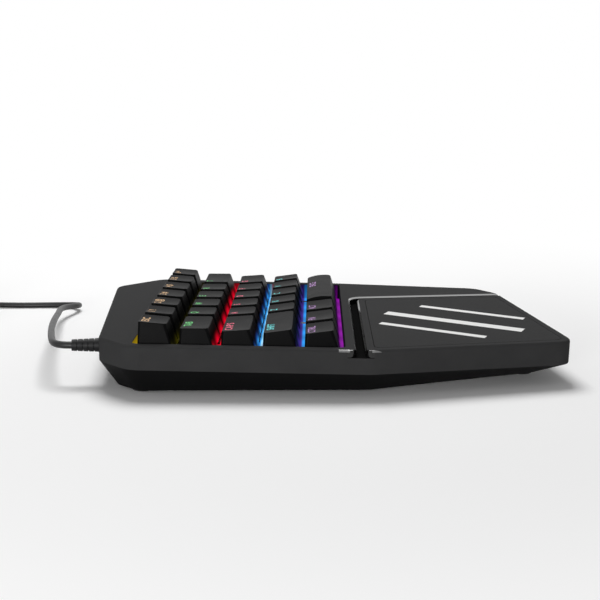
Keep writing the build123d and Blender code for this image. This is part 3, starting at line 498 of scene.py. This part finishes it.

# Keys: black ABS caps, moulded with a fine texture that wears smooth. The legends are clear
# windows, filled flush, with the row's light painted on them as a glow; the row's light is also
# painted on the caps' front faces near the skirt.
cap_dull, cap_worn = (0.002, 0.002, 0.0021), (0.0035, 0.0035, 0.0037)
skirt_level = -3.1          # below the top face of the case
spill_top = 2.0             # how far up a cap the row's light reaches
front_from, front_full = 0.6, 0.9       # how squarely a lit face looks to the front
legend_body = 0.4           # colour of a window as a share of its light
legend_dim, legend_full = 0.75, 1.15    # the light's unevenness within a window
legend_strength = 0.9
legend_height = 3.4
legend_side = 4.0           # from the cap's left edge
legend_back = 1.5           # from the cap's rear edge
wide_legends = {"tab": (7.0, 1.0), "caps": (4.6, 1.35), "shift": (7.4, 1.0), "space": (30.0, 0.7)}
legend_lift = 0.03
legend_weight = 0.08        # added all round each stroke
letter_share = 0.70         # height of a capital as a share of the type size
legend_rows = [
    ("amber", (0.42, 0.24, 0.09), {"escape": "ESC", "one": "1 !", "two": "2 @", "three": "3 #",
                                   "four": "4 $", "five": "5 %", "six": "6 ^"}),
    ("green", (0.02, 0.36, 0.06), {"tab": "TAB", "q": "Q", "w": "W", "e": "E", "r": "R", "t": "T"}),
    ("red", (0.62, 0.04, 0.11), {"caps": "CAPS", "a": "A", "s": "S", "d": "D", "f": "F", "g": "G"}),
    ("cyan", (0.02, 0.42, 0.42), {"shift": "SHIFT", "z": "Z", "x": "X", "c": "C", "v": "V", "b": "B"}),
    ("violet", (0.22, 0.08, 0.28), {"control": "CTRL", "function": "FN", "alternate": "ALT",
                                    "space": "SPACE"})]

cap_plastic = Finish("cap_plastic", (0.003, 0.003, 0.0031), 0.42, gloss=0.022)
wear = cap_plastic.noise(0.009, 3.0)
cap_plastic.feed(cap_plastic.shader["Roughness"], 0.34 + 0.12 * wear)
cap_plastic.feed(cap_plastic.shader["Base Color"], cap_plastic.shade(wear, cap_dull, cap_worn))
cap_plastic.grain(cap_plastic.noise(0.0004, 1.0), 0.00002)
# Painted light: the row's glow is painted on the caps' front faces, low down near the skirt.
above_skirt = cap_plastic.z - deck_slope * cap_plastic.y - (deck_middle + skirt_level) * mm
cap_facing = cap_plastic.node("ShaderNodeTexCoord", output="Normal")
facing_rear = cap_plastic.node("ShaderNodeSeparateXYZ", {}, {0: cap_facing}, 1)
front_face = (0.0 - facing_rear).rise(front_from, front_full)
painted_spill = front_face * (1 - above_skirt.rise(0.0, (spill_top - skirt_level) * mm))
row_light(cap_plastic, lamp_strength=0.9, between_lamps=0.15, lit=painted_spill)

for shade_name, shade, row in legend_rows:
    body, dim, full = (tuple(share * part for part in shade) for share in
                       (legend_body, legend_dim, legend_full))
    # The window's glow is painted light: an emission that stands for the row's lamp shining through.
    lit = Finish("legend_" + shade_name, body, 0.4)
    lit.feed(lit.shader["Emission Color"], lit.shade(lit.noise(0.0012), dim, full))
    lit.shader["Emission Strength"].default_value = legend_strength
    for name, words in row.items():
        key = nodes["key_" + name]
        cap_plastic.put_on(key)
        low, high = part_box("key_" + name)
        side, spread = wide_legends.get(name, (legend_side, 1.0))
        bpy.ops.object.select_all(action="DESELECT")
        bpy.ops.object.text_add()
        legend = bpy.context.object
        legend.data.body = words
        legend.data.align_x, legend.data.align_y = "LEFT", "TOP_BASELINE"
        legend.data.size = legend_height * mm / letter_share
        legend.data.space_character = spread
        legend.data.offset = legend_weight * mm
        legend.data.resolution_u = 4
        bpy.ops.object.convert(target="MESH")
        legend = bpy.context.object
        legend.name = "legend_" + name
        legend.location = (low[0] + side * mm, high[1] - (legend_back + legend_height) * mm, high[2] + mm)
        bpy.ops.object.transform_apply(location=True, rotation=True, scale=True)
        wrap = legend.modifiers.new("wrap", "SHRINKWRAP")
        wrap.target = key
        wrap.wrap_method = "PROJECT"
        wrap.use_project_z = True
        wrap.use_negative_direction = True
        wrap.use_positive_direction = False
        wrap.offset = legend_lift * mm
        bpy.ops.object.modifier_apply(modifier=wrap.name)
        lit.put_on(legend)
        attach(legend, "key_" + name)

# Studio: a pale sweep of paper that turns plain white further out, a large soft lamp overhead
# and a smaller one to the user's left.
floor_half = 2.5
shadow_reach, white_reach = 0.14, 0.42      # from the middle, where the floor turns plain white
world_dim, world_seen = 0.25, 1.0
lamps = [("lamp_above", (0.40, 0.10, 0.9), (0, 0, 0), 0.55, 7.6),
         ("lamp_side", (-0.85, 0.30, 0.08), (0, 0, 0.02), 0.30, 6.0)]

bpy.ops.object.select_all(action="DESELECT")
bpy.ops.mesh.primitive_plane_add(size=2 * floor_half, location=(0, 0, 0))
floor = bpy.context.object
floor.name = "floor"
paper = Finish("floor_paper", (0.94, 0.94, 0.94), 0.9, gloss=0.0)
bare = paper.tree.nodes["Principled BSDF"].outputs[0]
away = paper.node("ShaderNodeVectorMath", {"operation": "LENGTH"}, {0: paper.place}, "Value")
rays = paper.node("ShaderNodeLightPath")
seen = [Value(paper, rays.socket.node.outputs[name]) for name in
        ("Is Camera Ray", "Is Glossy Ray", "Is Transmission Ray")]
looked_at = seen[0] + seen[1] + seen[2]
glare = paper.node("ShaderNodeEmission", {}, {"Color": (1, 1, 1, 1), "Strength": 1.0})
mixer = paper.tree.nodes.new("ShaderNodeMixShader")
paper.feed(mixer.inputs[0], away.rise(shadow_reach, white_reach) * looked_at)
paper.tree.links.new(bare, mixer.inputs[1])
paper.tree.links.new(glare.socket, mixer.inputs[2])
paper.tree.links.new(mixer.outputs[0], paper.tree.nodes["Material Output"].inputs["Surface"])
paper.put_on(floor)

world = bpy.data.worlds.new("studio")
bpy.context.scene.world = world
world.use_nodes = True
tree = world.node_tree
light_path = tree.nodes.new("ShaderNodeLightPath")
seen_here = tree.nodes.new("ShaderNodeMath")
seen_here.operation = "ADD"
tree.links.new(light_path.outputs["Is Camera Ray"], seen_here.inputs[0])
tree.links.new(light_path.outputs["Is Glossy Ray"], seen_here.inputs[1])
seen_through = tree.nodes.new("ShaderNodeMath")
seen_through.operation = "ADD"
seen_through.use_clamp = True
tree.links.new(seen_here.outputs[0], seen_through.inputs[0])
tree.links.new(light_path.outputs["Is Transmission Ray"], seen_through.inputs[1])
strength = tree.nodes.new("ShaderNodeMapRange")
tree.links.new(seen_through.outputs[0], strength.inputs["Value"])
strength.inputs["To Min"].default_value = world_dim
strength.inputs["To Max"].default_value = world_seen
background = tree.nodes["Background"]
background.inputs["Color"].default_value = (1, 1, 1, 1)
tree.links.new(strength.outputs[0], background.inputs["Strength"])

for name, place, aim, width, power in lamps:
    lamp = bpy.data.objects.new(name, bpy.data.lights.new(name, "AREA"))
    bpy.context.scene.collection.objects.link(lamp)
    lamp.data.shape = "DISK"
    lamp.data.size = width
    lamp.data.energy = power
    lamp.location = place
    lamp.rotation_euler = (Vector(aim) - Vector(place)).to_track_quat("-Z", "Y").to_euler()
    lamp.visible_camera = False

bpy.context.scene.view_settings.view_transform = "Standard"
